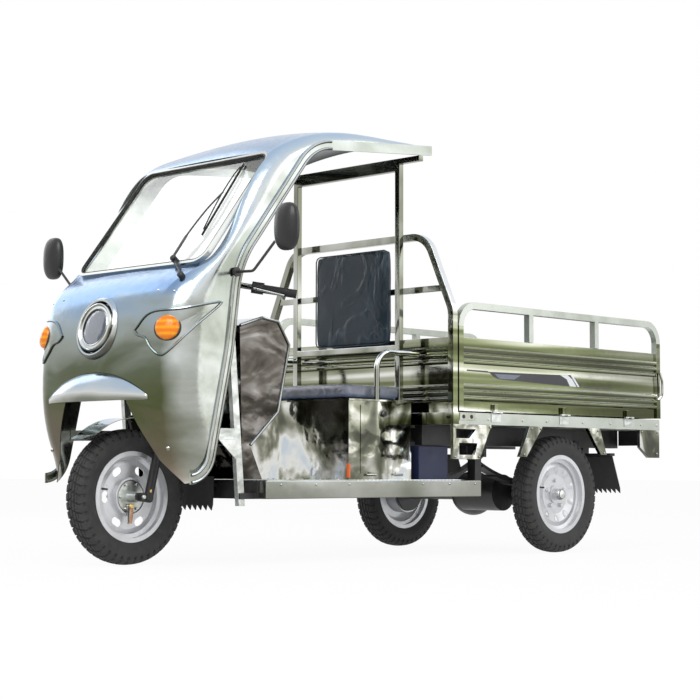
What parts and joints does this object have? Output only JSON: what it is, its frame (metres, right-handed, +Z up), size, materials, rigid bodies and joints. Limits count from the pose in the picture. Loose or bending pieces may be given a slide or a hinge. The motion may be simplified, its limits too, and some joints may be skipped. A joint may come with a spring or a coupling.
{
  "type": "electric cargo tricycle",
  "caption": "Electric cargo tricycle with a polished steel cab, bench seat, drop-side cargo bed, steered front wheel and hinged gates and box doors.",
  "frame": {"origin": "on the ground below the middle of the vehicle's bounding box", "axes": "+X forward, +Y the vehicle's left, +Z up"},
  "size_m": [2.885, 1.474, 1.6963],
  "materials": {
    "amber_lens": "clear amber",
    "battery_case": "dark blue case",
    "black_frame": "black paint",
    "black_plastic": "fine grain",
    "black_rubber": "matte",
    "bright_tube": "polished tube",
    "clear_glass": "clear laminated",
    "galvanised": "galvanised",
    "lamp_glass": "smoked lens",
    "navy_cover": "dark navy cover under clear film",
    "polished_steel": "polished stainless sheet",
    "rail_paint": "grey-green satin paint",
    "satin_steel": "satin stainless sheet",
    "silver_wheel": "silver paint",
    "tyre_rubber": "matte"
  },
  "bodies": {
    "chassis": {"armrests": "bright_tube", "backrest_pad": "navy_cover", "battery": "battery_case", "bed_brackets": "polished_steel", "bed_floor": "rail_paint", "bed_headboard": "bright_tube", "chassis_frame": "black_frame", "floor_plate": "satin_steel", "front_fairing": "satin_steel", "front_flap": "black_rubber", "gate_hinges": "rail_paint", "headlight_bezel": "bright_tube", "headlight_bowl": "black_plastic", "headlight_lens": "lamp_glass", "indicators": "amber_lens", "leaf_springs": "black_frame", "leg_shield": "polished_steel", "mirror_shells": "black_plastic", "mirror_stems": "bright_tube", "rear_axle": "black_frame", "rear_flaps": "black_rubber", "roof_canopy": "satin_steel", "roof_posts": "bright_tube", "seat_box": "polished_steel", "seat_cushion": "navy_cover", "shield_struts": "galvanised", "sill_rails": "polished_steel", "windscreen_glass": "clear_glass", "windscreen_seal": "black_rubber"},
    "steering": {"front_fork": "black_frame", "fork_springs": "black_frame", "front_brake": "satin_steel", "front_fender": "polished_steel", "fender_stays": "black_frame", "handlebar": "bright_tube", "handlebar_grips": "black_rubber", "switch_pods": "black_plastic", "brake_levers": "polished_steel"},
    "front_wheel": {"front_tyre": "tyre_rubber", "front_rim": "silver_wheel"},
    "rear_wheel_left": {"rear_tyre_left": "tyre_rubber", "rear_rim_left": "silver_wheel"},
    "rear_wheel_right": {"rear_tyre_right": "tyre_rubber", "rear_rim_right": "silver_wheel"},
    "side_gate_left": {"side_gate_left": "polished_steel"},
    "side_gate_right": {"side_gate_right": "polished_steel"},
    "tailgate": {"tailgate": "polished_steel"},
    "box_door_left": {"box_door_left": "polished_steel"},
    "box_door_right": {"box_door_right": "polished_steel"}
  },
  "joints": [
    {"name": "steering", "type": "hinge", "parent": "chassis", "child": "steering", "pos_m": [1.142, 0, 0.2475], "axis": [-0.2419, 0, 0.9703], "range_deg": [-30, 30]},
    {"name": "front_wheel_spin", "type": "hinge", "parent": "steering", "child": "front_wheel", "pos_m": [1.195, 0, 0.2475], "axis": [0, 1, 0], "continuous": true},
    {"name": "rear_wheel_left_spin", "type": "hinge", "parent": "chassis", "child": "rear_wheel_left", "pos_m": [-0.762, 0.4515, 0.2475], "axis": [0, 1, 0], "continuous": true},
    {"name": "rear_wheel_right_spin", "type": "hinge", "parent": "chassis", "child": "rear_wheel_right", "pos_m": [-0.762, -0.4515, 0.2475], "axis": [0, 1, 0], "continuous": true},
    {"name": "side_gate_left_drop", "type": "hinge", "parent": "chassis", "child": "side_gate_left", "pos_m": [-0.721, 0.5445, 0.58], "axis": [-1, 0, 0], "range_deg": [0, 175]},
    {"name": "side_gate_right_drop", "type": "hinge", "parent": "chassis", "child": "side_gate_right", "pos_m": [-0.721, -0.5445, 0.58], "axis": [1, 0, 0], "range_deg": [0, 175]},
    {"name": "tailgate_drop", "type": "hinge", "parent": "chassis", "child": "tailgate", "pos_m": [-1.437, 0, 0.58], "axis": [0, -1, 0], "range_deg": [0, 170]},
    {"name": "box_door_left_swing", "type": "hinge", "parent": "chassis", "child": "box_door_left", "pos_m": [0.1825, 0.346, 0.328], "axis": [-1, 0, 0], "range_deg": [0, 95]},
    {"name": "box_door_right_swing", "type": "hinge", "parent": "chassis", "child": "box_door_right", "pos_m": [0.1825, -0.346, 0.328], "axis": [1, 0, 0], "range_deg": [0, 95]}
  ]
}
